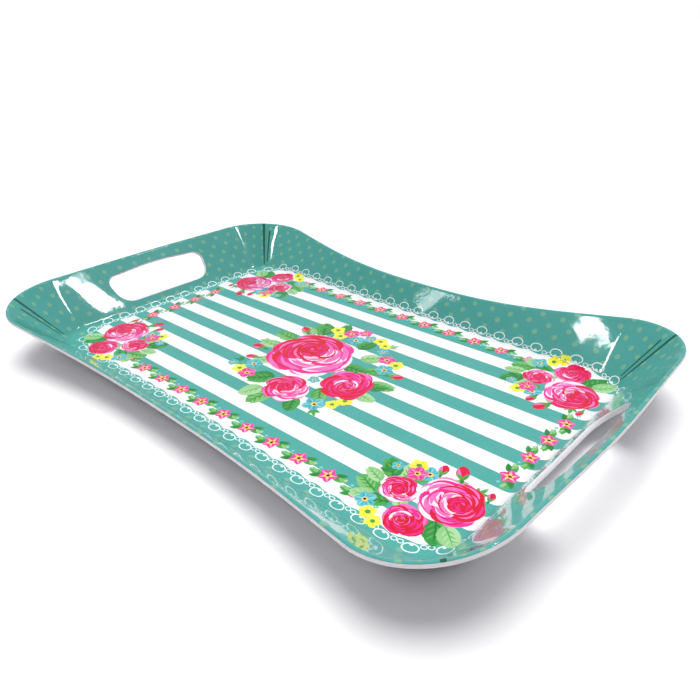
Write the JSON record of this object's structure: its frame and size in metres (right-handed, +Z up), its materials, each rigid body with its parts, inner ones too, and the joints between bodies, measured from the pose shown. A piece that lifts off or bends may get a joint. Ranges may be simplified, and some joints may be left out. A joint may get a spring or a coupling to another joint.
{
  "type": "serving tray",
  "caption": "Rectangular serving tray with flared walls, dipped long sides, hand holes in the raised ends and a floral printed inside under a clear glaze.",
  "frame": {"origin": "centre of the foot ring on the plane the tray stands on", "axes": "+X along the tray's length to one hand hole, +Y across it, +Z up out of the tray"},
  "size_m": [0.4216, 0.2728, 0.0413],
  "materials": {
    "shell": "white moulded melamine, smooth with a soft gloss",
    "print": "printed paper sheet bonded into the inside: teal with white stripes, lace and roses",
    "glaze": "clear hard melamine glaze, high gloss"
  },
  "bodies": {
    "root": {"tray_body": "shell", "printed_sheet": "print", "glaze_coat": "glaze"}
  },
  "joints": []
}
